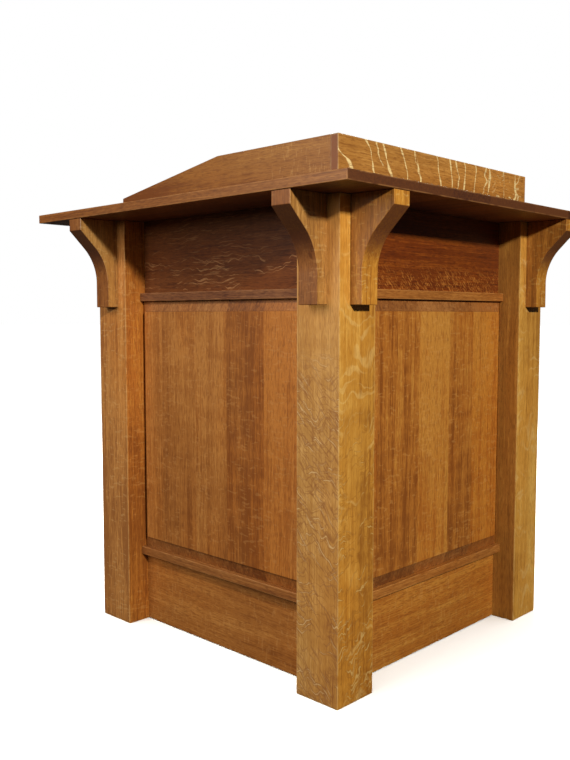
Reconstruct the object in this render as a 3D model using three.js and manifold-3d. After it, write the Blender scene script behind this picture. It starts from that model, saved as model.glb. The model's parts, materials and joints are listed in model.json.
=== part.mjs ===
// Lectern podium: a square post-and-panel body under a wide top board that eight corbels
// carry, with a slant-top desk box on it whose reading lid is hinged over a storage well.
// Millimetres, +Z up. The origin is on the floor below the middle of the body.
// The audience is at -Y and the speaker at +Y, so "front" is -Y and "left" is -X.

import * as THREE from 'three';
import { mergeVertices } from 'three/addons/utils/BufferGeometryUtils.js';
import Module from 'manifold-3d';

const wasm = await Module();
wasm.setup();

// ---------------------------------------------------------------- driving dimensions

const GAP = 0.3; // clearance between pieces that touch
const ROUND_STEPS = 24; // facets of a full circle in small round pieces
const ARC_STEPS = 24; // facets of a corbel's arc

// Body
const BODY = 824; // over the outer faces of the posts, both ways
const POST = 114; // square section of a post
const FLOOR_CLEARANCE = 2; // under the bottom rails

// Top board
const TOP_SIDE = 1042;
const TOP_THICK = 20.5;
const TOP_UNDERSIDE = 1040.5;

// Rails, each let into the posts with a tenon
const RAIL_RECESS = 61; // from the posts' outer faces back to the rails' faces
const RAIL_THICK = 22;
const TENON_THICK = 10;
const TENON_LENGTH = 30;
const TENON_SHOULDER = 25; // above and below each tenon
const REAR_TOP_RAIL_BOTTOM = 980;
const REAR_BOTTOM_RAIL_TOP = 159.7;

// Ledge under each panel and strip over it, both grooved for the panel
const STRIP_THICK = 20.5;
const LEDGE_BOTTOM = 177.5;
const LEDGE_RECESS = 42;
const STRIP_BOTTOM = 838;
const STRIP_RECESS = 45.5;

// Raised panel, held by a tongue all round
const FIELD_RECESS = 48;
const FIELD_STEP = 2.5; // small square step round the raised field
const TONGUE_FACE_RECESS = 58;
const PANEL_BACK_RECESS = 66;
const TONGUE = 8;
const SIDE_MARGIN = 16;
const END_MARGIN = 26.5;

// Corbels
const CORBEL_THICK = 50;
const CORBEL_REACH = 107;
const CORBEL_FOOT_THICK = 30;
const CORBEL_FOOT_DROP = 218; // from the top board down to the foot
const CORBEL_ARC_DROP = 157; // where the arc meets the straight foot
const CORBEL_ARC_RADIUS = 123; // an eighth of a circle, then a 45 degree chamfer

// Desk box
const BOX_HALF_WIDTH = 378;
const BOX_FRONT = -378;
const BOX_REAR = 350;
const BOX_BOARD = 20;
const BOX_HEIGHT = 103; // above the top board, over the level part
const BOX_TOE_HEIGHT = 41; // at the speaker's end
const BREAK = -17; // where the level part ends and the slope starts, and the lid's hinge line
const INSET = 12; // of the shelf and the lid below the edges of the box
const SHELF_THICK = 18;
const PARTITION_Y = [-45, -25];

// Reading lid
const LID_THICK = 18;
const LID_HALF_WIDTH = 357;
const LID_END = 327; // clears the toe board as the lid swings up
const LID_EDGE_GAP = 0.8; // from the hinge line to the lid
const SHELF_EDGE_GAP = 0.5; // from the hinge line to the level shelf
const NOTCH_RADIUS = 15; // finger notch in the lid's lower edge
const BATTEN_THICK = 12;
const BATTEN_WIDTH = 45;
const BATTEN_CENTRE = 230;
const BATTEN_SPAN = [60, 260]; // down the slope from the hinge line
const LID_REST_DEPTH = 17.7;
const LID_REST_OPENING = 80;

// Butt hinges
const HINGE_CENTRE = 240;
const HINGE_LENGTH = 60;
const LEAF_REACH = 26;
const LEAF_THICK = 2;
const LEAF_SINK = 0.2; // below the surface of the wood
const KNUCKLES = 5;
const KNUCKLE_RADIUS = 3.5;
const KNUCKLE_GAP = 0.4;
const KNUCKLE_RELIEF = 4; // half depth of the notches in the wood
const PIN_RADIUS = 1.5;

// Inside the body
const DECK = [160, 178];
const SHELF = [560, 578];
const SHELF_CLEAT_HEIGHT = 35;
const CLEAT_THICK = 20;
const DECK_CLEAT_HEIGHT = 30;
const TOP_CLEAT = 22;

// ---------------------------------------------------------------- derived dimensions

const HALF = BODY / 2;
const INNER = HALF - POST; // half the clear width between two posts
const TOP_SURFACE = TOP_UNDERSIDE + TOP_THICK;
const RAIL_BACK = RAIL_RECESS + RAIL_THICK;
const LEDGE_TOP = LEDGE_BOTTOM + STRIP_THICK;
const STRIP_TOP = STRIP_BOTTOM + STRIP_THICK;
const RAIL_INSIDE = HALF - RAIL_BACK; // from the middle to a rail's inner face
const PANEL_INSIDE = HALF - PANEL_BACK_RECESS;
const BOX_TOP = TOP_SURFACE + BOX_HEIGHT;
const TOE_TOP = TOP_SURFACE + BOX_TOE_HEIGHT;
const SURFACE = BOX_TOP - INSET; // level shelf's top and the hinge axis
const FALL = (BOX_TOP - TOE_TOP) / (BOX_REAR - BREAK);
const SLOPE = Math.atan(FALL);
const LID_LENGTH = (LID_END - BREAK) / Math.cos(SLOPE);
const BOX_INSIDE = BOX_HALF_WIDTH - BOX_BOARD;

// ---------------------------------------------------------------- solids

function block([x0, x1], [y0, y1], [z0, z1]) {
  const geometry = new THREE.BoxGeometry(x1 - x0, y1 - y0, z1 - z0);
  return geometry.translate((x0 + x1) / 2, (y0 + y1) / 2, (z0 + z1) / 2);
}

// A range from -half to +half, less the gap at both ends.
function between(half) {
  return [GAP - half, half - GAP];
}

// An outline drawn in Y and Z, extruded along X.
function extrudeAlongX(shape, [x0, x1]) {
  const options = { depth: x1 - x0, bevelEnabled: false, curveSegments: ARC_STEPS };
  const toYZ = new THREE.Matrix4().makeBasis(
    new THREE.Vector3(0, 1, 0),
    new THREE.Vector3(0, 0, 1),
    new THREE.Vector3(1, 0, 0),
  );
  return new THREE.ExtrudeGeometry(shape, options).applyMatrix4(toYZ).translate(x0, 0, 0);
}

function outline(points) {
  return new THREE.Shape(points.map(([a, b]) => new THREE.Vector2(a, b)));
}

function cylinderAlongX(radius, [x0, x1]) {
  const geometry = new THREE.CylinderGeometry(radius, radius, x1 - x0, ROUND_STEPS);
  return geometry.rotateZ(Math.PI / 2).translate((x0 + x1) / 2, 0, 0);
}

function toSolid(geometry) {
  const bare = geometry.clone();
  bare.deleteAttribute('normal');
  bare.deleteAttribute('uv');
  const merged = mergeVertices(bare);
  const vertProperties = new Float32Array(merged.attributes.position.array);
  const triVerts = new Uint32Array(merged.index.array);
  return new wasm.Manifold(new wasm.Mesh({ numProp: 3, vertProperties, triVerts }));
}

function toGeometry(solid) {
  const { vertProperties, triVerts } = solid.getMesh();
  const geometry = new THREE.BufferGeometry();
  geometry.setAttribute('position', new THREE.BufferAttribute(vertProperties, 3));
  geometry.setIndex(new THREE.BufferAttribute(triVerts, 1));
  geometry.computeVertexNormals();
  return geometry;
}

function join(first, ...others) {
  return toGeometry(others.reduce((sum, other) => sum.add(toSolid(other)), toSolid(first)));
}

function cut(first, ...others) {
  return toGeometry(others.reduce((rest, other) => rest.subtract(toSolid(other)), toSolid(first)));
}

function common(first, second) {
  return toGeometry(toSolid(first).intersect(toSolid(second)));
}

// ---------------------------------------------------------------- pieces and finishes

const FINISHES = {
  postOak: { color: 0xa8662c, roughness: 0.45, metalness: 0 },
  panelOak: { color: 0x8e4f22, roughness: 0.45, metalness: 0 },
  trimOak: { color: 0x9a5a2a, roughness: 0.45, metalness: 0 },
  topOak: { color: 0xa5672c, roughness: 0.4, metalness: 0 },
  insideOak: { color: 0xb98a55, roughness: 0.65, metalness: 0 },
  brass: { color: 0xb08d4a, roughness: 0.35, metalness: 1 },
};

const podium = new THREE.Group();

function addPiece(parent, name, geometry, finish) {
  const mesh = new THREE.Mesh(geometry, new THREE.MeshStandardMaterial(FINISHES[finish]));
  mesh.name = name;
  parent.add(mesh);
}

// Each side of the body is drawn as the front, which faces -Y, and turned about Z.
// Its ends are the neighbouring sides at its -X and +X ends as drawn.
const SIDES = [
  { name: 'front', turn: 0, ends: ['left', 'right'], closed: true },
  { name: 'right', turn: Math.PI / 2, ends: ['front', 'rear'], closed: true },
  { name: 'rear', turn: Math.PI, ends: ['right', 'left'], closed: false },
  { name: 'left', turn: -Math.PI / 2, ends: ['rear', 'front'], closed: true },
];

// Y of two depths behind the outer faces of the front posts.
function depths(outer, inner) {
  return [outer - HALF, inner - HALF];
}

// ---------------------------------------------------------------- rails, ledges, panels

const BOTTOM_RAIL = [FLOOR_CLEARANCE, LEDGE_BOTTOM - GAP];
const FRIEZE_RAIL = [STRIP_TOP + GAP, TOP_UNDERSIDE - GAP];
const REAR_TOP_RAIL = [REAR_TOP_RAIL_BOTTOM, TOP_UNDERSIDE - GAP];
const REAR_BOTTOM_RAIL = [FLOOR_CLEARANCE, REAR_BOTTOM_RAIL_TOP];

function tenonBar([bottom, top], slack) {
  const reach = INNER + TENON_LENGTH + slack;
  const outer = RAIL_RECESS + (RAIL_THICK - TENON_THICK) / 2;
  const thickness = depths(outer - slack, outer + TENON_THICK + slack);
  const height = [bottom + TENON_SHOULDER - slack, top - TENON_SHOULDER + slack];
  return block([-reach, reach], thickness, height);
}

function rail(height) {
  const board = block(between(INNER), depths(RAIL_RECESS, RAIL_BACK), height);
  return join(board, tenonBar(height, 0));
}

function tongueSheet(slack) {
  const reach = INNER + TONGUE + slack;
  const thickness = depths(TONGUE_FACE_RECESS - slack, PANEL_BACK_RECESS + slack);
  return block([-reach, reach], thickness, [LEDGE_TOP - TONGUE - slack, STRIP_BOTTOM + TONGUE + slack]);
}

function groovedStrip(recess, bottom) {
  const bar = block(between(INNER), depths(recess, RAIL_BACK), [bottom, bottom + STRIP_THICK]);
  return cut(bar, tongueSheet(GAP));
}

// Section of the raised panel between its two outer edges: [across, depth] points.
function raisedSection(low, high, margin) {
  const [field, step] = depths(FIELD_RECESS, FIELD_RECESS + FIELD_STEP);
  const [tongue, back] = depths(TONGUE_FACE_RECESS, PANEL_BACK_RECESS);
  const sight = TONGUE;
  const shoulder = TONGUE + margin;
  return [
    [low, back],
    [low, tongue],
    [low + sight, tongue],
    [low + shoulder, step],
    [low + shoulder, field],
    [high - shoulder, field],
    [high - shoulder, step],
    [high - sight, tongue],
    [high, tongue],
    [high, back],
  ];
}

function raisedPanel() {
  const reach = INNER + TONGUE;
  const low = LEDGE_TOP - TONGUE;
  const high = STRIP_BOTTOM + TONGUE;
  const upright = raisedSection(low, high, END_MARGIN).map(([z, y]) => [y, z]);
  const level = raisedSection(-reach, reach, SIDE_MARGIN);
  const options = { depth: high - low, bevelEnabled: false };
  const plan = new THREE.ExtrudeGeometry(outline(level), options).translate(0, 0, low);
  return common(extrudeAlongX(outline(upright), [-reach, reach]), plan);
}

function buildClosedSide(side, name) {
  addPiece(side, `${name}_frieze_rail`, rail(FRIEZE_RAIL), 'panelOak');
  addPiece(side, `${name}_upper_strip`, groovedStrip(STRIP_RECESS, STRIP_BOTTOM), 'trimOak');
  addPiece(side, `${name}_panel`, raisedPanel(), 'panelOak');
  addPiece(side, `${name}_lower_ledge`, groovedStrip(LEDGE_RECESS, LEDGE_BOTTOM), 'trimOak');
  addPiece(side, `${name}_bottom_rail`, rail(BOTTOM_RAIL), 'panelOak');
}

function buildOpenSide(side, name) {
  addPiece(side, `${name}_top_rail`, rail(REAR_TOP_RAIL), 'panelOak');
  addPiece(side, `${name}_bottom_rail`, rail(REAR_BOTTOM_RAIL), 'panelOak');
}

// ---------------------------------------------------------------- corbels

// One corbel, in Y and Z: back and top edges, nose, 45 degree chamfer, arc and foot.
function corbelOutline() {
  const wall = -HALF - GAP;
  const ceiling = TOP_UNDERSIDE - GAP;
  const arcY = -HALF - CORBEL_FOOT_THICK - CORBEL_ARC_RADIUS;
  const arcZ = TOP_UNDERSIDE - CORBEL_ARC_DROP;
  const eighth = CORBEL_ARC_RADIUS * Math.SQRT1_2;
  const nose = -HALF - CORBEL_REACH;
  const chamferRun = arcY + eighth - nose;
  const foot = TOP_UNDERSIDE - CORBEL_FOOT_DROP;
  const shape = new THREE.Shape();
  shape.moveTo(wall, ceiling);
  shape.lineTo(nose, ceiling);
  shape.lineTo(nose, arcZ + eighth + chamferRun);
  shape.absarc(arcY, arcZ, CORBEL_ARC_RADIUS, Math.PI / 4, 0, true);
  shape.lineTo(-HALF - CORBEL_FOOT_THICK, foot);
  shape.lineTo(wall, foot);
  shape.closePath();
  return shape;
}

function buildCorbels(side, name, ends) {
  const postCentre = HALF - POST / 2;
  [-postCentre, postCentre].forEach((middle, index) => {
    const thickness = [middle - CORBEL_THICK / 2, middle + CORBEL_THICK / 2];
    const corbel = extrudeAlongX(corbelOutline(), thickness);
    addPiece(side, `${name}_corbel_${ends[index]}`, corbel, 'postOak');
  });
}

// ---------------------------------------------------------------- posts

// Mortises and grooves of one side, as bars that run from post to post.
function sideCutters({ turn, closed }) {
  const closedBars = [FRIEZE_RAIL, BOTTOM_RAIL].map((height) => tenonBar(height, GAP));
  const openBars = [REAR_TOP_RAIL, REAR_BOTTOM_RAIL].map((height) => tenonBar(height, GAP));
  const bars = closed ? [...closedBars, tongueSheet(GAP)] : openBars;
  return bars.map((bar) => bar.rotateZ(turn));
}

function buildPosts() {
  const cutters = SIDES.flatMap(sideCutters);
  const ends = { front: [-HALF, -INNER], rear: [INNER, HALF] };
  const flanks = { left: [-HALF, -INNER], right: [INNER, HALF] };
  for (const [end, y] of Object.entries(ends)) {
    for (const [flank, x] of Object.entries(flanks)) {
      const post = block(x, y, [0, TOP_UNDERSIDE - GAP]);
      addPiece(podium, `post_${end}_${flank}`, cut(post, ...cutters), 'postOak');
    }
  }
}

// ---------------------------------------------------------------- inside the body

// A board that fills the space between the posts and runs out between them to the sides.
function boardRoundPosts(reach, front, rear, height) {
  const clear = between(INNER);
  return join(block(clear, [front, rear], height), block([-reach, reach], clear, height));
}

function buildDeckAndShelf() {
  const deckReach = RAIL_INSIDE - GAP;
  const deckRear = HALF - RAIL_RECESS;
  const deck = boardRoundPosts(deckReach, -deckReach, deckRear, DECK);
  addPiece(podium, 'lower_deck', deck, 'insideOak');
  const shelfReach = PANEL_INSIDE - GAP;
  const shelf = boardRoundPosts(shelfReach, -shelfReach, INNER - GAP, SHELF);
  addPiece(podium, 'middle_shelf', shelf, 'insideOak');
}

// Cleats on the posts' inner faces, which carry the middle shelf.
function buildShelfCleats() {
  const height = [SHELF[0] - GAP - SHELF_CLEAT_HEIGHT, SHELF[0] - GAP];
  const outer = INNER - GAP;
  const inner = outer - CLEAT_THICK;
  const length = between(PANEL_INSIDE);
  addPiece(podium, 'shelf_cleat_left', block([-outer, -inner], length, height), 'insideOak');
  addPiece(podium, 'shelf_cleat_right', block([inner, outer], length, height), 'insideOak');
}

// Cleats on the inner face of each side's rails, under the deck and under the top board.
function buildRailCleats(side, name) {
  const back = RAIL_BACK + GAP;
  const deckHeight = [DECK[0] - GAP - DECK_CLEAT_HEIGHT, DECK[0] - GAP];
  const deckCleat = block(between(INNER), depths(back, back + CLEAT_THICK), deckHeight);
  addPiece(side, `deck_cleat_${name}`, deckCleat, 'insideOak');
  const topHeight = [TOP_UNDERSIDE - GAP - TOP_CLEAT, TOP_UNDERSIDE - GAP];
  const topCleat = block(between(INNER), depths(back, back + TOP_CLEAT), topHeight);
  addPiece(side, `top_cleat_${name}`, topCleat, 'insideOak');
}

// ---------------------------------------------------------------- top board and desk box

function buildTopBoard() {
  const side = [-TOP_SIDE / 2, TOP_SIDE / 2];
  addPiece(podium, 'top_board', block(side, side, [TOP_UNDERSIDE, TOP_SURFACE]), 'topOak');
}

function buildBoxFrame() {
  const floor = TOP_SURFACE + GAP;
  const frontInside = BOX_FRONT + BOX_BOARD;
  const width = [-BOX_HALF_WIDTH, BOX_HALF_WIDTH];
  addPiece(podium, 'box_front', block(width, [BOX_FRONT, frontInside], [floor, BOX_TOP]), 'topOak');

  const flank = outline([
    [frontInside + GAP, floor],
    [BOX_REAR, floor],
    [BOX_REAR, TOE_TOP],
    [BREAK, BOX_TOP],
    [frontInside + GAP, BOX_TOP],
  ]);
  addPiece(podium, 'box_left', extrudeAlongX(flank, [-BOX_HALF_WIDTH, -BOX_INSIDE]), 'topOak');
  addPiece(podium, 'box_right', extrudeAlongX(flank, [BOX_INSIDE, BOX_HALF_WIDTH]), 'topOak');

  const toeInside = BOX_REAR - BOX_BOARD;
  const toe = outline([
    [toeInside, floor],
    [BOX_REAR, floor],
    [BOX_REAR, TOE_TOP],
    [toeInside, TOE_TOP + BOX_BOARD * FALL],
  ]);
  addPiece(podium, 'toe_board', extrudeAlongX(toe, between(BOX_INSIDE)), 'topOak');
}

// Room for both leaves of one hinge in a board whose edge is at the hinge line, toward +Y.
function hingeMortises() {
  return [-HINGE_CENTRE, HINGE_CENTRE].flatMap((middle) => {
    const width = [middle - HINGE_LENGTH / 2 - GAP, middle + HINGE_LENGTH / 2 + GAP];
    const leaf = block(width, [0, LEAF_REACH + GAP], [-LEAF_SINK - LEAF_THICK - GAP, 1]);
    const knuckle = block(width, [-1, KNUCKLE_RELIEF], [-KNUCKLE_RELIEF, 1]);
    return [leaf, knuckle];
  });
}

function buildLevelShelf() {
  const underside = SURFACE - SHELF_THICK;
  const depth = [BOX_FRONT + BOX_BOARD + GAP, BREAK - SHELF_EDGE_GAP];
  const mortises = hingeMortises().map((g) => g.rotateZ(Math.PI).translate(0, BREAK, SURFACE));
  const shelf = cut(block(between(BOX_INSIDE), depth, [underside, SURFACE]), ...mortises);
  addPiece(podium, 'level_shelf', shelf, 'topOak');

  const partitionHeight = [TOP_SURFACE + GAP, underside - GAP];
  const partition = block(between(BOX_INSIDE), PARTITION_Y, partitionHeight);
  addPiece(podium, 'well_partition', partition, 'insideOak');

  const cleatHeight = [underside - GAP - CLEAT_THICK, underside - GAP];
  const cleat = block(between(BOX_INSIDE), [depth[0], depth[0] + CLEAT_THICK], cleatHeight);
  addPiece(podium, 'box_cleat', cleat, 'insideOak');
}

// Strips on the toe board that the lid's lower end lies on, open under the finger notch.
function buildLidRests() {
  const rear = BOX_REAR - BOX_BOARD - GAP;
  const front = rear - LID_REST_DEPTH;
  const top = (y) => SURFACE - (y - BREAK) * FALL - LID_THICK / Math.cos(SLOPE) - GAP;
  const rest = outline([
    [front, TOP_SURFACE + GAP],
    [rear, TOP_SURFACE + GAP],
    [rear, top(rear)],
    [front, top(front)],
  ]);
  const outer = BOX_INSIDE - GAP;
  const inner = LID_REST_OPENING / 2;
  addPiece(podium, 'lid_rest_left', extrudeAlongX(rest, [-outer, -inner]), 'insideOak');
  addPiece(podium, 'lid_rest_right', extrudeAlongX(rest, [inner, outer]), 'insideOak');
}

// ---------------------------------------------------------------- reading lid

// The lid is drawn level, with the hinge axis as its X axis, and tilted to the slope.
function buildLid(tilted) {
  const lean = LID_THICK * FALL; // makes the upper edge upright once the lid is tilted
  const board = outline([
    [LID_EDGE_GAP, 0],
    [LID_LENGTH, 0],
    [LID_LENGTH, -LID_THICK],
    [LID_EDGE_GAP + lean, -LID_THICK],
  ]);
  const notch = new THREE.CylinderGeometry(NOTCH_RADIUS, NOTCH_RADIUS, LID_THICK * 2, ROUND_STEPS);
  notch.rotateX(Math.PI / 2).translate(0, LID_LENGTH, -LID_THICK / 2);
  const blank = extrudeAlongX(board, [-LID_HALF_WIDTH, LID_HALF_WIDTH]);
  addPiece(tilted, 'reading_lid', cut(blank, notch, ...hingeMortises()), 'topOak');

  const height = [-LID_THICK - GAP - BATTEN_THICK, -LID_THICK - GAP];
  for (const [end, direction] of Object.entries({ left: -1, right: 1 })) {
    const middle = direction * BATTEN_CENTRE;
    const width = [middle - BATTEN_WIDTH / 2, middle + BATTEN_WIDTH / 2];
    addPiece(tilted, `lid_batten_${end}`, block(width, BATTEN_SPAN, height), 'insideOak');
  }
}

// One hinge leaf toward +Y, with the knuckles of the given numbers round the X axis.
function hingeLeaf(numbers) {
  const half = HINGE_LENGTH / 2;
  const pitch = HINGE_LENGTH / KNUCKLES;
  const thickness = [-LEAF_SINK - LEAF_THICK, -LEAF_SINK];
  const root = KNUCKLE_RADIUS + 2 * KNUCKLE_GAP;
  const plate = block([-half, half], [root, LEAF_REACH], thickness);
  const rolls = numbers.flatMap((number) => {
    const start = number * pitch - half;
    const width = [start + KNUCKLE_GAP / 2, start + pitch - KNUCKLE_GAP / 2];
    return [block(width, [0, root], thickness), cylinderAlongX(KNUCKLE_RADIUS, width)];
  });
  const bore = cylinderAlongX(PIN_RADIUS + GAP, [-half - 1, half + 1]);
  return cut(join(plate, ...rolls), bore);
}

function buildHinges(level, tilted) {
  for (const [end, direction] of Object.entries({ left: -1, right: 1 })) {
    const middle = direction * HINGE_CENTRE;
    const fixedLeaf = hingeLeaf([0, 2, 4]).rotateZ(Math.PI).translate(middle, 0, 0);
    addPiece(level, `hinge_${end}_fixed_leaf`, fixedLeaf, 'brass');
    const movingLeaf = hingeLeaf([1, 3]).translate(middle, 0, 0);
    addPiece(tilted, `hinge_${end}_moving_leaf`, movingLeaf, 'brass');
    const span = [middle - HINGE_LENGTH / 2, middle + HINGE_LENGTH / 2];
    addPiece(level, `hinge_${end}_pin`, cylinderAlongX(PIN_RADIUS, span), 'brass');
  }
}

// ---------------------------------------------------------------- assembly

buildPosts();
for (const { name, turn, ends, closed } of SIDES) {
  const side = new THREE.Group();
  side.rotation.z = turn;
  podium.add(side);
  const buildSide = closed ? buildClosedSide : buildOpenSide;
  buildSide(side, name);
  buildCorbels(side, name, ends);
  buildRailCleats(side, name);
}
buildDeckAndShelf();
buildShelfCleats();
buildTopBoard();
buildBoxFrame();
buildLevelShelf();
buildLidRests();

const hingeLine = new THREE.Group();
hingeLine.position.set(0, BREAK, SURFACE);
podium.add(hingeLine);
const lidFrame = new THREE.Group();
lidFrame.rotation.x = -SLOPE;
hingeLine.add(lidFrame);
buildLid(lidFrame);
buildHinges(hingeLine, lidFrame);

export default podium;
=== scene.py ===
"""Looks of the lectern podium: stained quartersawn oak, brass hinges and a plain pale studio.

Metres, in the same frame as the CAD nodes: +Z up, the audience at -Y and the speaker at +Y.
"""

import json
import math
import random

import bmesh
import bpy
from mathutils import Matrix, Vector


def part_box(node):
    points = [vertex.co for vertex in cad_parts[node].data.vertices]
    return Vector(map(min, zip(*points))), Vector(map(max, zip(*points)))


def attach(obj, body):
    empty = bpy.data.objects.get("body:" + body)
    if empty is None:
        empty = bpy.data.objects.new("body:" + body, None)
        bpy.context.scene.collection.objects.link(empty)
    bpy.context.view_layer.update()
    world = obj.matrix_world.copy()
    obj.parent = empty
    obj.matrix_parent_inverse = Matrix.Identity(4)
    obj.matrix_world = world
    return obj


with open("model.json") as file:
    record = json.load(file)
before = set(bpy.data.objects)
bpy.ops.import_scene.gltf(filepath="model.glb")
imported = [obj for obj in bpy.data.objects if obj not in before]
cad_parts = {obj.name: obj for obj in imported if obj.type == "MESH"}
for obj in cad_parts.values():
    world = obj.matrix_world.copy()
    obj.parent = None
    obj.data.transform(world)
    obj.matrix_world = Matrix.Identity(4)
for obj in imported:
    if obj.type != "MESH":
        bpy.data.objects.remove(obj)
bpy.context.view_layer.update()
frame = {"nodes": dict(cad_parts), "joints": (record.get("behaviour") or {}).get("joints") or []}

MM = 0.001
AXES = "XYZ"
NODES = frame["nodes"]
LID_SLOPE = math.radians(9.59)
LEAF_SINK = 0.2 * MM  # the hinge leaves' depth below the wood
BATTEN_THICK = 12 * MM
WIDE_BOARD = 100 * MM  # inside boards wider than this are glued up from staves
HINGE_SCREW = 3.0 * MM  # radii of the screw heads
WOOD_SCREW = 3.5 * MM
SCREW_REACH = (13 * MM, 19 * MM, 13 * MM)  # from the hinge line, across one leaf
RED_TINT = (1.02, 0.86, 0.62)  # what the redder streaks of the oak are multiplied by


# ------------------------------------------------------------------ shader nodes


def linear(red, green, blue):
    """A colour given in 0 to 255, as it looks in full light, as linear values."""
    return tuple(((value / 255 + 0.055) / 1.055) ** 2.4 for value in (red, green, blue))


class Graph:
    """The nodes of one material. Each method adds a node and returns its output socket."""

    def __init__(self, name):
        self.material = bpy.data.materials.new(name)
        self.material.use_nodes = True
        self.tree = self.material.node_tree
        self.shader = self.tree.nodes["Principled BSDF"]

    def feed(self, socket, value):
        if isinstance(value, bpy.types.NodeSocket):
            self.tree.links.new(value, socket)
        else:
            socket.default_value = (*value, 1.0) if isinstance(value, tuple) else value

    def add(self, kind, inputs, output=0, **settings):
        node = self.tree.nodes.new(kind)
        for name, value in settings.items():
            setattr(node, name, value)
        for key, value in inputs.items():
            self.feed(node.inputs[key], value)
        return node.outputs[output]

    def math(self, operation, *values):
        return self.add("ShaderNodeMath", dict(enumerate(values)), operation=operation)

    def total(self, *values):
        result = values[0]
        for value in values[1:]:
            result = self.math("ADD", result, value)
        return result

    def scaled(self, value, factor):
        return self.math("MULTIPLY", value, factor)

    def centred(self, value, amount):
        """value, which runs from 0 to 1, as a swing of amount about 0."""
        return self.math("MULTIPLY_ADD", value, amount, -amount / 2)

    def vector(self, x, y, z):
        return self.add("ShaderNodeCombineXYZ", {0: x, 1: y, 2: z})

    def parts(self, vector):
        node = self.tree.nodes.new("ShaderNodeSeparateXYZ")
        self.feed(node.inputs[0], vector)
        return list(node.outputs)

    def noise(self, vector, detail=2.0, rough=0.5):
        inputs = {"Vector": vector, "Scale": 1.0, "Detail": detail, "Roughness": rough}
        return self.add("ShaderNodeTexNoise", inputs)

    def step(self, value, low, high, start=0.0, end=1.0):
        """A smooth step from start to end as value goes from low to high."""
        inputs = {0: value, 1: low, 2: high, 3: start, 4: end}
        return self.add("ShaderNodeMapRange", inputs, interpolation_type="SMOOTHSTEP")

    def mix(self, factor, first, second, blend="MIX"):
        inputs = {0: factor, 6: first, 7: second}
        return self.add("ShaderNodeMix", inputs, 2, data_type="RGBA", blend_type=blend)

    def bump(self, height, strength, distance):
        inputs = {"Strength": strength, "Distance": distance, "Height": height}
        return self.add("ShaderNodeBump", inputs)


# ------------------------------------------------------------------ oak colours


def stain(dark, middle, light, fleck, end):
    names = ("dark", "middle", "light", "fleck", "end")
    return dict(zip(names, (linear(*tone) for tone in (dark, middle, light, fleck, end))))


GOLD = stain((154, 98, 34), (198, 140, 56), (220, 168, 82), (238, 202, 128), (112, 62, 36))
STRAW = stain((170, 114, 44), (212, 156, 70), (230, 182, 96), (242, 206, 138), (120, 70, 40))
TAN = stain((150, 96, 50), (190, 138, 72), (212, 162, 94), (234, 194, 134), (112, 64, 40))
WHEAT = stain((134, 90, 44), (172, 124, 64), (196, 148, 84), (214, 176, 116), (104, 62, 36))
SIENNA = stain((118, 68, 28), (154, 101, 45), (176, 123, 61), (200, 152, 90), (104, 58, 34))
HONEY = stain((156, 98, 48), (196, 134, 70), (218, 158, 91), (232, 186, 122), (110, 62, 38))
AMBER = stain((130, 80, 32), (172, 118, 54), (200, 146, 76), (246, 220, 160), (130, 75, 42))
OCHRE = stain((136, 76, 26), (178, 110, 42), (200, 138, 60), (218, 160, 88), (104, 56, 30))
FAWN = stain((126, 79, 32), (162, 108, 46), (186, 133, 62), (206, 160, 86), (104, 58, 32))
RUSSET = stain((132, 76, 30), (166, 104, 46), (188, 126, 62), (204, 146, 84), (100, 54, 32))
UMBER = stain((112, 65, 31), (146, 91, 44), (168, 111, 59), (196, 140, 84), (88, 48, 30))
CHESTNUT = stain((80, 32, 6), (112, 50, 10), (138, 70, 18), (204, 132, 58), (72, 32, 14))
SEPIA = stain((78, 38, 16), (112, 62, 28), (138, 84, 42), (196, 142, 92), (72, 36, 22))
PLUM = stain((78, 40, 24), (122, 76, 46), (148, 98, 58), (168, 118, 76), (74, 40, 28))
PLAIN = stain((170, 126, 76), (196, 154, 100), (212, 174, 122), (224, 192, 146), (140, 98, 60))


# ------------------------------------------------------------------ oak


class Oak:
    """Coordinates of one oak piece: along its grain, and the two ways across it.

    stave is the usual width of the boards that it is glued up from, and slide moves the
    joints between them.
    """

    def __init__(self, graph, node, grain, across, stave=None, slide=0.0):
        self.graph = graph
        places = graph.add("ShaderNodeTexCoord", {}, 3)
        self.position = graph.parts(places)
        self.normal = graph.parts(graph.add("ShaderNodeTexCoord", {}, 1))
        chance = random.Random(f"oak {node}")
        offsets = [chance.uniform(2.0, 20.0) for _ in AXES]
        offsets[1] += slide
        through = next(axis for axis in AXES if axis not in (grain, across))
        order = [AXES.index(axis) for axis in (grain, across, through)]
        along, wide, deep = [
            graph.math("ADD", self.position[index], offset)
            for index, offset in zip(order, offsets)
        ]
        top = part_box(node)[1][AXES.index(across)]
        self.down = graph.math("SUBTRACT", top, self.position[AXES.index(across)])
        self.stave_tone = None
        self.stave_hue = None
        if stave:
            inputs = {"W": wide, "Scale": 1 / stave, "Randomness": 0.7}
            cell = graph.add("ShaderNodeTexVoronoi", inputs, 1, voronoi_dimensions="1D")
            first, second, third = graph.parts(cell)
            along = graph.math("MULTIPLY_ADD", first, 7.0, along)
            deep = graph.math("MULTIPLY_ADD", second, 5.0, deep)
            self.stave_tone = third
            self.stave_hue = second
        drift = self.noise_at(along, wide, deep, 1.3, 4.0, 1.0)
        self.along = along
        self.wide = graph.math("ADD", wide, graph.centred(drift, 0.030))
        self.deep = graph.math("ADD", deep, graph.centred(drift, 0.030))
        self.end_share = graph.math("ABSOLUTE", self.normal[order[0]])

    def noise_at(self, along, wide, deep, length, width, detail):
        graph = self.graph
        place = graph.vector(
            graph.scaled(along, length), graph.scaled(wide, width), graph.scaled(deep, width)
        )
        return graph.noise(place, detail)

    def noise(self, length, width, detail=2.0):
        """Noise with this many cells to the metre along the grain and across it."""
        return self.noise_at(self.along, self.wide, self.deep, length, width, detail)


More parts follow.
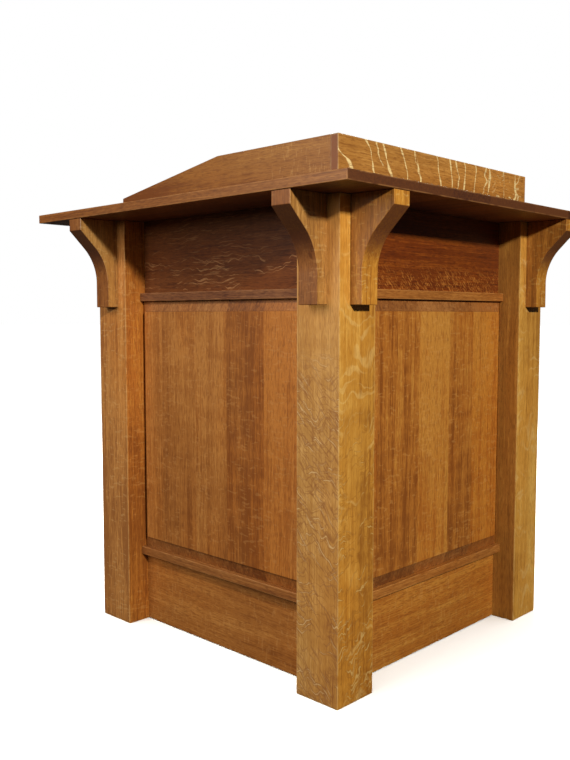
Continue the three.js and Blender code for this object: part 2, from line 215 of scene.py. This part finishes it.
def ray_lines(oak, pitch, sway, sway_scale, crowd, thickness, gaps, cover, strength, lean, bow):
    """Long wavy lines across the grain, where broad rays of the wood reach the surface.

    crowd is how unevenly they are spaced, and gaps the scale of the breaks in them. lean
    is how far they slant at the upper edge, at the board's -X and +X ends, and bow bends
    them back further down.
    """
    graph = oak.graph
    wander = oak.noise(*sway_scale, 2.0)
    bunches = oak.noise(4.5, 0.5, 1.0)
    slope = graph.step(oak.position[0], -0.35, 0.20, *lean)
    curve = graph.scaled(
        oak.down, graph.math("SUBTRACT", graph.scaled(oak.down, bow), slope)
    )
    placed = graph.total(oak.along, curve)
    field = graph.total(
        graph.scaled(placed, 1 / pitch),
        graph.scaled(wander, sway * 2),
        graph.scaled(bunches, crowd),
    )
    distance = graph.math("PINGPONG", field, 0.5)
    swell = oak.noise(16.0, 45.0, 1.0)
    edge = graph.math("MULTIPLY_ADD", swell, 3.4 * thickness / pitch, -0.9 * thickness / pitch)
    edge = graph.math("MAXIMUM", edge, 0.01)
    line = graph.math("SUBTRACT", 1.0, graph.math("DIVIDE", distance, edge))
    line = graph.step(line, 0.0, 0.55)
    shown = oak.noise(*gaps, 1.0)
    shown = graph.step(shown, 0.60 - 0.30 * cover, 0.70 - 0.30 * cover)
    return graph.scaled(graph.scaled(line, shown), strength), None


def ray_flecks(oak, length, width, bend, amount, strength, slant=0.0, lengthways=False,
               painted_shadow_rim=0.0, face=None, zone=None, soft=0.06):
    """Short tapering flecks, and darker rims around them, which are painted shadow as if the flecks stood
    proud.

    They lie across the grain, or along it if lengthways. length and width are one fleck's,
    bend how far it wanders sideways, amount its share. face keeps them to the faces square
    to that axis, and zone is (axis, none from, all from).
    """
    graph = oak.graph
    across = graph.math("ADD", oak.wide, oak.deep)
    first, second = (across, oak.along) if lengthways else (oak.along, across)
    wander = oak.noise_at(second, first, 0.0, 0.55 / length, 0.25 / length, 2.0)
    placed = graph.total(
        first, graph.centred(wander, 2 * bend), graph.scaled(second, slant)
    )
    place = graph.vector(
        graph.scaled(placed, 0.5 / width),
        graph.scaled(second, 0.5 / length),
        graph.scaled(first, 0.1 / length),
    )
    ribbons = graph.noise(place, 1.0)
    patch = oak.noise(5.0, 9.0, 1.0)
    level = graph.math("MULTIPLY_ADD", patch, 0.30, ribbons)
    low = 0.86 - 0.22 * amount
    mask = strength
    if face:
        facing = graph.math("ABSOLUTE", oak.normal[AXES.index(face)])
        mask = graph.scaled(graph.step(facing, 0.60, 0.80), mask)
    if zone:
        axis, none, full = zone
        mask = graph.scaled(graph.step(oak.position[AXES.index(axis)], none, full), mask)
    pale = graph.scaled(graph.step(level, low, low + soft), mask)
    if not painted_shadow_rim:
        return pale, None
    # The rim band just outside each fleck is painted shadow.
    shadow_beside = graph.step(level, low - 0.10, low - 0.02)
    return pale, graph.scaled(graph.scaled(shadow_beside, mask), painted_shadow_rim)


def worn_and_highlit_edges(graph, position, node, reach):
    """1 on the arrises of a box-shaped node, falling to 0 at reach from them; it marks where edges are
    lightened, partly as wear and partly as a painted highlight.
    """
    low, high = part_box(node)
    gaps = [
        graph.math(
            "MINIMUM",
            graph.math("SUBTRACT", position[i], low[i]),
            graph.math("SUBTRACT", high[i], position[i]),
        )
        for i in range(3)
    ]
    lesser = graph.math("MINIMUM", gaps[0], gaps[1])
    greater = graph.math("MAXIMUM", gaps[0], gaps[1])
    middle = graph.math("MAXIMUM", lesser, graph.math("MINIMUM", greater, gaps[2]))
    return graph.step(middle, 0.2 * reach, reach, 1.0, 0.0)


def long_grain(graph, oak, palette, figures, look):
    """Colour of a face along the grain: growth rings, streaks, mottle, rays and pores."""
    contrast = look.get("contrast", 1.0)
    tone = graph.total(
        0.5 + look.get("lift", 0.0),
        graph.centred(oak.noise(0.6, 40.0, 2.0), 1.1 * contrast),
        graph.centred(oak.noise(4.0, 110.0, 1.0), 0.7 * contrast),
        graph.centred(oak.noise(7.0, 330.0, 1.0), 1.2 * contrast),
        graph.centred(oak.noise(50.0, 420.0, 1.0), 0.9 * contrast),
        graph.centred(oak.noise(2.4, 6.0, 2.0), look.get("cloud", 0.7)),
        graph.centred(oak.noise(28.0, 10.0, 2.0), look.get("mottle", 0.4)),
    )
    # drift shifts the tone along one axis; on some pieces that is painted light or shade.
    if "drift" in look:
        axis, start, end, amount = look["drift"]
        place = oak.position[AXES.index(axis)]
        tone = graph.total(tone, graph.step(place, start, end, 0.0, amount))
    hue = oak.noise(1.7, 6.0, 2.0)
    if oak.stave_tone is not None:
        tone = graph.total(tone, graph.centred(oak.stave_tone, look.get("stave_tone", 0.8)))
        hue = graph.total(hue, graph.centred(oak.stave_hue, 0.25))
    lower = graph.mix(graph.step(tone, 0.0, 0.5), palette["dark"], palette["middle"])
    wood = graph.mix(graph.step(tone, 0.5, 1.0), lower, palette["light"])
    red = graph.step(hue, 0.35, 0.70, 0.0, look.get("warmth", 0.7))
    wood = graph.mix(red, wood, RED_TINT, "MULTIPLY")
    for pale, painted_shadow_rim in figures:
        # Painted shadow around the flecks.
        if painted_shadow_rim is not None:
            wood = graph.mix(painted_shadow_rim, wood, palette["dark"])
        wood = graph.mix(pale, wood, palette["fleck"])
    dashes = graph.step(oak.noise(55.0, 420.0, 1.0), 0.54, 0.64)
    pores = graph.step(oak.noise(90.0, 1400.0, 1.0), 0.55, 0.68)
    lines = graph.math("MAXIMUM", dashes, graph.scaled(pores, 0.7))
    return graph.mix(graph.scaled(lines, look.get("pores", 0.55)), wood, palette["dark"])


def end_grain(graph, oak, palette):
    """Colour of a face across the grain: darker, in rows of open pores."""
    dots = oak.noise(700.0, 700.0, 1.0)
    rings = oak.noise(1.0, 260.0, 1.0)
    speckle = graph.total(graph.scaled(dots, 0.6), graph.scaled(rings, 0.4))
    rows = graph.step(speckle, 0.40, 0.62, 0.0, 0.6)
    wood = graph.mix(rows, palette["end"], palette["dark"])
    if oak.stave_tone is None:
        return wood
    return graph.mix(graph.scaled(oak.stave_tone, 0.6), wood, palette["dark"])


def oak_material(node, palette, grain, across, rays=(), stave=None, slide=0.0, wear=0.5, **look):
    """The finish of one oak piece.

    rays lists the figure: ray_lines for arguments with a pitch, and otherwise ray_flecks.
    In look, cheek is (axis, palette) for the faces square to that axis, under a darker palette for the
    faces that look down, which is painted shade, and the rest sets the grain, as in long_grain, or the
    varnish.
    """
    graph = Graph(f"oak.{node}")
    oak = Oak(graph, node, grain, across, stave, slide)
    figures = [
        ray_lines(oak, **ray) if "pitch" in ray else ray_flecks(oak, **ray) for ray in rays
    ]
    # On some posts the cheek palette is painted shade on the faces beside a recess.
    if "cheek" in look:
        axis, other = look["cheek"]
        facing = graph.math("ABSOLUTE", oak.normal[AXES.index(axis)])
        facing = graph.step(facing, *look.get("cheek_from", (0.60, 0.80)))
        palette = {key: graph.mix(facing, palette[key], other[key]) for key in palette}
    # Painted shade: faces that look down get a darker palette.
    if "under" in look:
        underside_shade_mask = graph.step(oak.normal[2], -0.60, -0.80)
        palette = {key: graph.mix(underside_shade_mask, palette[key], look["under"][key]) for key in palette}
    wood = long_grain(graph, oak, palette, figures, look)
    cut_from, cut_to = look.get("end_from", (0.55, 0.80))
    wood = graph.mix(
        graph.step(oak.end_share, cut_from, cut_to), wood, end_grain(graph, oak, palette)
    )
    # Lightened arrises: partly rubbed stain, partly a painted highlight of light catching the edges.
    if wear:
        edge = worn_and_highlit_edges(graph, oak.position, node, look.get("wear_reach", 3.5 * MM))
        edge_breakup = graph.step(oak.noise(30.0, 30.0, 2.0), 0.30, 0.60)
        edge = graph.scaled(graph.scaled(edge, edge_breakup), wear)
        wood = graph.mix(edge, wood, palette["fleck"])

    shader = graph.shader
    graph.feed(shader.inputs["Base Color"], wood)
    streaks = oak.noise(10.0, 300.0, 1.0)
    pores = graph.step(oak.noise(60.0, 1100.0, 1.0), 0.55, 0.70)
    rough = graph.math("MULTIPLY_ADD", streaks, 0.20, look.get("roughness", 0.42) - 0.10)
    graph.feed(shader.inputs["Roughness"], graph.math("MULTIPLY_ADD", pores, 0.15, rough))
    shader.inputs["Coat Weight"].default_value = look.get("coat", 0.10)
    shader.inputs["Coat Roughness"].default_value = 0.28
    shader.inputs["Specular IOR Level"].default_value = look.get("specular", 0.4)
    relief = graph.math("SUBTRACT", graph.scaled(streaks, 0.5), pores)
    graph.feed(shader.inputs["Normal"], graph.bump(relief, 0.25, 0.2 * MM))
    return graph.material


# Figures of the rays, from bold lines right across a board to small scattered flecks
BOLD = dict(pitch=0.064, sway=0.36, sway_scale=(4.0, 14.0), crowd=4.2, thickness=3.6 * MM,
            gaps=(9.0, 14.0), cover=1.2, strength=0.92, lean=(1.05, 0.25), bow=5.5)
STRAY = dict(pitch=0.150, sway=0.26, sway_scale=(5.0, 20.0), crowd=1.5, thickness=3.2 * MM,
             gaps=(7.0, 30.0), cover=0.80, strength=0.85, lean=(1.00, 0.25), bow=5.2)
BLOTCH = dict(length=0.012, width=0.0028, bend=0.022, amount=0.38, strength=0.8,
              zone=("X", 0.18, 0.27), lengthways=True)
UPRIGHT = dict(length=0.020, width=0.0022, bend=0.010, amount=0.42, strength=0.38,
               zone=("Y", -0.10, -0.22), soft=0.08)
# Where a figure has a rim, it is painted shadow around its flecks.
WISPY = dict(length=0.026, width=0.0028, bend=0.050, amount=0.30, strength=0.38, painted_shadow_rim=0.4,
             soft=0.10)
SPARSE = dict(length=0.022, width=0.0026, bend=0.018, amount=0.16, strength=0.34, slant=0.5,
              soft=0.10)
CLOUDY = dict(length=0.036, width=0.0080, bend=0.080, amount=0.60, strength=0.34, face="Y",
              soft=0.16)
DIAGONAL = dict(length=0.020, width=0.0032, bend=0.016, amount=0.38, strength=0.64, slant=-1.1,
                face="X", zone=("Z", 0.74, 0.62), painted_shadow_rim=1.0, soft=0.12)
CHEVRON = dict(length=0.022, width=0.0032, bend=0.040, amount=0.36, strength=0.66, face="X",
               zone=("Z", 0.76, 0.66), painted_shadow_rim=0.8, soft=0.10)
SWIRL = dict(length=0.018, width=0.0030, bend=0.045, amount=0.50, strength=0.50, slant=-0.7,
             face="Y", zone=("Z", 0.66, 0.50), painted_shadow_rim=1.0, soft=0.10)
SMALL = dict(length=0.006, width=0.0013, bend=0.004, amount=0.66, strength=0.60, slant=1.0,
             zone=("Z", 0.930, 0.885), soft=0.05)
FAINT = dict(length=0.040, width=0.0018, bend=0.020, amount=0.26, strength=0.24,
             lengthways=True, soft=0.05)
SQUIGGLE = dict(length=0.030, width=0.0020, bend=0.026, amount=0.34, strength=0.46,
                zone=("Z", 0.95, 0.92), lengthways=True, soft=0.04)
SILKY = dict(length=0.012, width=0.0028, bend=0.006, amount=0.45, strength=0.25)

LEVEL = {"front": "X", "rear": "X", "left": "Y", "right": "Y"}


def give(node, palette, grain, across, **look):
    """Puts an oak finish on a CAD node."""
    material = oak_material(node, palette, grain, across, **look)
    NODES[node].data.materials.clear()
    NODES[node].data.materials.append(material)


def finish_posts():
    """The near post has most of the figure. The others are quieter."""
    near = dict(cheek=("Y", GOLD), rays=[CLOUDY, DIAGONAL, CHEVRON, SWIRL], wear=0.3)
    # The drift makes this post lighter towards the bottom: painted light against the key's fall-off.
    give("post_front_left", TAN, "Z", "X", contrast=0.7, cloud=1.6, mottle=0.8, pores=0.35,
         drift=("Z", 0.60, 0.20, 0.12), **near)
    # The faces of this post square to X, beside the front panel's recess, get the darker FAWN palette:
    # painted shade.
    give("post_front_right", STRAW, "Z", "X", cheek=("X", FAWN), rays=[CLOUDY], cloud=1.5,
         contrast=0.8)
    # This post's faces square to Y, beside the left panel's recess, keep the redder OCHRE while those
    # square to X get HONEY: painted shade on the inner face.
    give("post_rear_left", OCHRE, "Z", "X", cheek=("X", HONEY), rays=[SILKY], cloud=1.1,
         drift=("Z", 0.70, 0.35, -0.25))
    give("post_rear_right", TAN, "Z", "X", cheek=("Y", UMBER), rays=[WISPY])


def finish_corbels():
    """The grain runs down, so the curve and the top cut across it."""
    for name in NODES:
        if "_corbel_" not in name:
            continue
        level = LEVEL[name.split("_")[0]]
        nose = "Y" if level == "X" else "X"
        side, front = (FAWN, GOLD) if nose == "Y" else (WHEAT, UMBER)
        give(name, side, "Z", level, cheek=(nose, front), rays=[SILKY], wear=0,
             end_from=(0.10, 0.60), lift=-0.1 if nose == "Y" else 0.0)


def finish_sides():
    """Panels, rails, strips and ledges of the four sides."""
    for side, level in LEVEL.items():
        front = side == "front"
        for name in NODES:
            if not name.startswith(side + "_") or "_corbel_" in name:
                continue
            if name.endswith("_panel"):
                give(name, OCHRE if front else RUSSET, "Z", level, stave=0.13, rays=[SILKY],
                     wear=0, stave_tone=1.1, cheek=("Z", UMBER), cheek_from=(0.10, 0.20),
                     mottle=0.8, cloud=0.6, warmth=0.9, drift=("Z", 0.70, 0.25, -0.2),
                     slide=0.0 if front else 0.085)
            elif name == "front_frieze_rail":
                # Lighter towards the bottom, so the top stays darker under the eave: painted shade.
                give(name, CHESTNUT, level, "Z", rays=[SMALL], wear=0,
                     drift=("Z", 1.00, 0.88, 0.22))
            elif "frieze" in name or "top_rail" in name:
                give(name, SEPIA, level, "Z", rays=[FAINT, SQUIGGLE], wear=0, specular=0.25, contrast=0.7,
                     lift=-0.05)
            elif name.endswith("_rail"):
                give(name, OCHRE if front else RUSSET, level, "Z", rays=[SILKY], wear=0,
                     contrast=0.7, cloud=1.0, lift=0.2 if front else 0.0)
            elif name.endswith("_strip") and not front:
                give(name, PLUM, level, "Z", wear_reach=2.5 * MM)
            else:
                give(name, RUSSET if front else UMBER, level, "Z", wear_reach=2.5 * MM)


def finish_top():
    """The top board and the outside of the desk box, with the lid."""
    # The top board's underside gets the darker PLUM palette as painted shade.
    give("top_board", dict(UMBER, end=linear(64, 34, 24)), "Y", "X", stave=0.17, wear=0.4,
         lift=-0.05, under=PLUM)
    give("box_front", AMBER, "X", "Z", rays=[BOLD, STRAY, BLOTCH], wear=0.2, contrast=0.6,
         drift=("X", -0.1, 0.3, 0.25))
    for name in ("box_left", "box_right"):
        # Lighter at the near end and darker towards the rear: a painted sheen.
        give(name, SIENNA, "Y", "Z", rays=[UPRIGHT], wear=0, cloud=0.9, contrast=0.6,
             drift=("Y", -0.15, 0.25, -0.35))
    give("toe_board", AMBER, "X", "Z", rays=[WISPY], wear=0)
    give("level_shelf", AMBER, "X", "Y", stave=0.12, rays=[SPARSE], wear=0.3)
    give("reading_lid", AMBER, "X", "Y", stave=0.14, rays=[SPARSE], wear=0)


def finish_inside():
    """Paler, plainer oak for the decks, the cleats and the strips under the lid."""
    prefixes = ("deck_cleat", "shelf_cleat", "top_cleat", "lid_batten", "lid_rest", "box_cleat",
                "well_partition", "lower_deck", "middle_shelf")
    for name in NODES:
        if not name.startswith(prefixes):
            continue
        low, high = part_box(name)
        size = high - low
        order = sorted(range(3), key=lambda i: -size[i])
        wide = size[order[1]] > WIDE_BOARD
        give(name, PLAIN, AXES[order[0]], AXES[order[1]], stave=0.11 if wide else None,
             rays=[WISPY] if wide else [], wear=0.2, roughness=0.5, coat=0.0)


# ------------------------------------------------------------------ metal


def metal_material(name, tone, tarnish, roughness):
    """Satin metal with dull tarnish in patches and fine scratches."""
    graph = Graph(name)
    place = graph.add("ShaderNodeTexCoord", {}, 3)
    x, y, z = graph.parts(place)
    spread = graph.vector(graph.scaled(x, 90.0), graph.scaled(y, 90.0), graph.scaled(z, 90.0))
    cloud = graph.noise(spread, 3.0)
    lines = graph.vector(graph.scaled(x, 60.0), graph.scaled(y, 2500.0), graph.scaled(z, 2500.0))
    scratch = graph.noise(lines)
    patches = graph.step(cloud, 0.40, 0.68)
    shader = graph.shader
    graph.feed(shader.inputs["Base Color"], graph.mix(patches, tone, tarnish))
    shader.inputs["Metallic"].default_value = 1.0
    rough = graph.math("MULTIPLY_ADD", patches, 0.18, roughness)
    graph.feed(shader.inputs["Roughness"], graph.math("MULTIPLY_ADD", scratch, 0.10, rough))
    graph.feed(shader.inputs["Normal"], graph.bump(scratch, 0.10, 0.05 * MM))
    return graph.material


BRASS = metal_material("brass", (0.62, 0.42, 0.15), (0.30, 0.18, 0.06), 0.26)


def finish_hinges():
    for name in NODES:
        if name.startswith("hinge_"):
            NODES[name].data.materials.clear()
            NODES[name].data.materials.append(BRASS)


# ------------------------------------------------------------------ screws


def screw_head(radius):
    """A low dome on its own centre, +Z up, with a groove right across it."""
    head = bmesh.new()
    sides = 20
    loops = []
    for reach, height in ((1.0, -0.04), (1.0, 0.03), (0.84, 0.12), (0.52, 0.19), (0.2, 0.22)):
        loop = []
        for step in range(sides):
            turn = 2 * math.pi * step / sides
            x, y = math.cos(turn) * reach * radius, math.sin(turn) * reach * radius
            loop.append(head.verts.new((x, y, height * radius)))
        loops.append(loop)
    for lower, upper in zip(loops, loops[1:]):
        for i in range(sides):
            j = (i + 1) % sides
            head.faces.new((lower[i], lower[j], upper[j], upper[i]))
    head.faces.new(loops[-1])
    head.faces.new(reversed(loops[0]))
    groove = 0.15 * radius
    for offset in (-groove, -0.8 * groove, 0.8 * groove, groove):
        cut = [*head.verts, *head.edges, *head.faces]
        bmesh.ops.bisect_plane(head, geom=cut, dist=1e-7, plane_co=(0, offset, 0),
                               plane_no=(0, 1, 0))
    for vert in head.verts:
        if abs(vert.co.y) < 0.9 * groove and vert.co.z > 0:
            vert.co.z = 0.01 * radius
    return head


def add_screws(name, body, radius, normal, places):
    """One piece with a brass screw head at each of the places, each turned its own way."""
    chance = random.Random(name)
    shape = bpy.data.meshes.new(name)
    group = bmesh.new()
    upright = Vector(normal).to_track_quat("Z", "Y").to_matrix().to_4x4()
    for place in places:
        head = screw_head(radius)
        turn = Matrix.Rotation(chance.uniform(0, math.pi), 4, "Z")
        head.transform(Matrix.Translation(place) @ upright @ turn)
        single = bpy.data.meshes.new("one head")
        head.to_mesh(single)
        group.from_mesh(single)
        head.free()
        bpy.data.meshes.remove(single)
    group.to_mesh(shape)
    group.free()
    shape.materials.append(BRASS)
    piece = bpy.data.objects.new(name, shape)
    bpy.context.scene.collection.objects.link(piece)
    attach(piece, body)


def spread(low, high, count):
    """count places between low and high, the end ones a sixth of the way in."""
    return [low + (high - low) * (1 / 6 + 2 / 3 * i / (count - 1)) for i in range(count)]


def screw_hinges():
    """Three screws in each leaf, the middle one further from the pin."""
    hinge_line = Vector(next(j for j in frame["joints"] if j["name"] == "lid_hinge")["pos_m"])
    level = Vector((0, -1, 0))
    slope = Vector((0, math.cos(LID_SLOPE), -math.sin(LID_SLOPE)))
    sides = (("fixed", "root", level, Vector((0, 0, 1))),
             ("moving", "lid", slope, Vector((0, math.sin(LID_SLOPE), math.cos(LID_SLOPE)))))
    for end in ("left", "right"):
        for kind, body, outward, normal in sides:
            low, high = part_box(f"hinge_{end}_{kind}_leaf")
            places = []
            for reach, x in zip(SCREW_REACH, spread(low.x, high.x, 3)):
                on_line = Vector((x, hinge_line.y, hinge_line.z))
                places.append(on_line + outward * reach - normal * LEAF_SINK)
            add_screws(f"screws_hinge_{end}_{kind}", body, HINGE_SCREW, normal, places)


def screw_battens():
    """Screws up through the lid's battens, from below."""
    down = Vector((0, -math.sin(LID_SLOPE), -math.cos(LID_SLOPE)))
    along = Vector((0, math.cos(LID_SLOPE), -math.sin(LID_SLOPE)))
    for end in ("left", "right"):
        low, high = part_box(f"lid_batten_{end}")
        corner = Vector(((low.x + high.x) / 2, low.y, 0))
        corner.z = high.z - (BATTEN_THICK * math.cos(LID_SLOPE))
        length = (high.y - low.y) / math.cos(LID_SLOPE)
        places = [corner + along * reach for reach in spread(0, length, 3)]
        add_screws(f"screws_batten_{end}", "lid", WOOD_SCREW, down, places)


def screw_cleats():
    """Screws through the cleats into the rails and posts behind them."""
    for name in NODES:
        if "cleat" not in name or name == "box_cleat":
            continue
        low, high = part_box(name)
        middle = (low + high) / 2
        size = high - low
        long_axis = 0 if size.x > size.y else 1
        thin_axis = 1 - long_axis
        inward = Vector((0, 0, 0))
        inward[thin_axis] = -math.copysign(1, middle[thin_axis])
        face = high[thin_axis] if inward[thin_axis] > 0 else low[thin_axis]
        places = []
        for along in spread(low[long_axis], high[long_axis], 4):
            place = middle.copy()
            place[long_axis] = along
            place[thin_axis] = face
            places.append(place)
        add_screws(f"screws_{name}", "root", WOOD_SCREW, inward, places)


# ------------------------------------------------------------------ eased edges


def ease_edges():
    """Small rounded arrises on every CAD node, by modifiers alone."""
    for name, piece in NODES.items():
        weld = piece.modifiers.new("weld", "WELD")
        weld.merge_threshold = 0.01 * MM
        bevel = piece.modifiers.new("eased edges", "BEVEL")
        bevel.limit_method = "ANGLE"
        bevel.angle_limit = math.radians(25)
        bevel.segments = 2
        bevel.width = edge_radius(name)
        bevel.miter_outer = "MITER_ARC"


def edge_radius(name):
    """Posts are eased most and panels least, apart from the metal."""
    if name.startswith("hinge_"):
        return 0.15 * MM
    if name.endswith("_panel"):
        return 0.8 * MM
    if name.startswith("post_"):
        return 2.0 * MM
    return 1.2 * MM


# ------------------------------------------------------------------ studio


def area_light(name, place, aim, size, power, tint):
    data = bpy.data.lights.new(name, "AREA")
    data.shape = "RECTANGLE"
    data.size, data.size_y = size
    data.energy = power
    data.color = tint
    lamp = bpy.data.objects.new(name, data)
    lamp.location = place
    lamp.rotation_euler = (Vector(aim) - Vector(place)).to_track_quat("-Z", "Y").to_euler()
    bpy.context.scene.collection.objects.link(lamp)
    return lamp


def floor_material():
    """Pale for the camera and dark for light that bounces off it, so the eaves stay deep."""
    graph = Graph("floor")
    shader = graph.shader
    shader.inputs["Base Color"].default_value = (0.88, 0.88, 0.87, 1.0)
    shader.inputs["Roughness"].default_value = 0.9
    shader.inputs["Specular IOR Level"].default_value = 0.1
    dark = graph.add("ShaderNodeBsdfDiffuse", {"Color": (0.02, 0.018, 0.015)})
    seen = graph.add("ShaderNodeLightPath", {}, 0)
    both = graph.add("ShaderNodeMixShader", {0: seen, 1: dark, 2: shader.outputs[0]})
    graph.feed(graph.tree.nodes["Material Output"].inputs["Surface"], both)
    return graph.material


def build_floor():
    side = 60.0
    mesh = bpy.data.meshes.new("floor")
    corners = [(x * side, y * side, 0.0) for x, y in ((-1, -1), (1, -1), (1, 1), (-1, 1))]
    mesh.from_pydata(corners, [], [(0, 1, 2, 3)])
    mesh.materials.append(floor_material())
    floor = bpy.data.objects.new("floor", mesh)
    bpy.context.scene.collection.objects.link(floor)
    return floor


def build_world(backdrop, ambient):
    world = bpy.data.worlds.new("studio")
    bpy.context.scene.world = world
    world.use_nodes = True
    tree = world.node_tree
    tree.nodes.clear()
    seen = tree.nodes.new("ShaderNodeLightPath")
    shades = []
    for tone in (ambient, backdrop):
        shade = tree.nodes.new("ShaderNodeBackground")
        shade.inputs["Color"].default_value = (*tone, 1.0)
        shades.append(shade)
    mix = tree.nodes.new("ShaderNodeMixShader")
    output = tree.nodes.new("ShaderNodeOutputWorld")
    tree.links.new(seen.outputs["Is Camera Ray"], mix.inputs[0])
    tree.links.new(shades[0].outputs[0], mix.inputs[1])
    tree.links.new(shades[1].outputs[0], mix.inputs[2])
    tree.links.new(mix.outputs[0], output.inputs["Surface"])


def build_lights(floor):
    """A hard key, a soft light from the left, one for the rear and one for the floor alone.

    The near post and its left corbel don't keep the key off the left side.
    """
    near_corner = Vector((-0.45, -0.45, 0.95))
    towards_key = Vector((-0.351, -0.873, 0.341))
    middle = (0.0, 0.0, 0.6)
    key = area_light(
        "key", place=near_corner + 3.6 * towards_key, aim=(-0.1, -0.3, 0.62),
        size=(0.24, 0.24), power=153, tint=(1.0, 0.96, 0.83),
    )
    area_light(
        "soft left", place=(-3.4, 0.5, 2.2), aim=(-0.4, 0.0, 0.6),
        size=(2.4, 2.2), power=76, tint=(1.0, 0.97, 0.91),
    )
    area_light(
        "rear", place=(3.1, 2.4, 1.9), aim=middle,
        size=(2.4, 2.0), power=190, tint=(1.0, 0.97, 0.92),
    )

    shading = bpy.data.collections.new("shades the key")
    for name, piece in NODES.items():
        if name not in ("post_front_left", "left_corbel_front"):
            shading.objects.link(piece)
    key.light_linking.blocker_collection = shading

    data = bpy.data.lights.new("floor light", "SUN")
    data.energy = 4.2
    data.angle = math.radians(80)
    sun = bpy.data.objects.new("floor light", data)
    bpy.context.scene.collection.objects.link(sun)
    only_floor = bpy.data.collections.new("floor only")
    only_floor.objects.link(floor)
    sun.light_linking.receiver_collection = only_floor


def build_camera():
    """Below the height of the top, off the near corner, looking slightly down."""
    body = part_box("post_front_right")[1].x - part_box("post_front_left")[0].x
    place = Vector((-2.054, -1.818, 0.9727)) * body
    turn, dip = math.radians(46.06), math.radians(4.33)
    forward = Vector((math.sin(turn) * math.cos(dip), math.cos(turn) * math.cos(dip), -math.sin(dip)))
    data = bpy.data.cameras.new("camera")
    data.sensor_width = 36
    data.lens = 40.35
    camera = bpy.data.objects.new("camera", data)
    camera.location = place
    camera.rotation_euler = forward.to_track_quat("-Z", "Y").to_euler()
    bpy.context.scene.collection.objects.link(camera)
    bpy.context.scene.camera = camera


# ------------------------------------------------------------------ assembly

finish_posts()
finish_corbels()
finish_sides()
finish_top()
finish_inside()
finish_hinges()
ease_edges()
screw_hinges()
screw_battens()
screw_cleats()
build_camera()
build_world(backdrop=(1.0, 1.0, 1.0), ambient=(0.042, 0.037, 0.038))
build_lights(build_floor())
bpy.context.scene.view_settings.view_transform = "Standard"
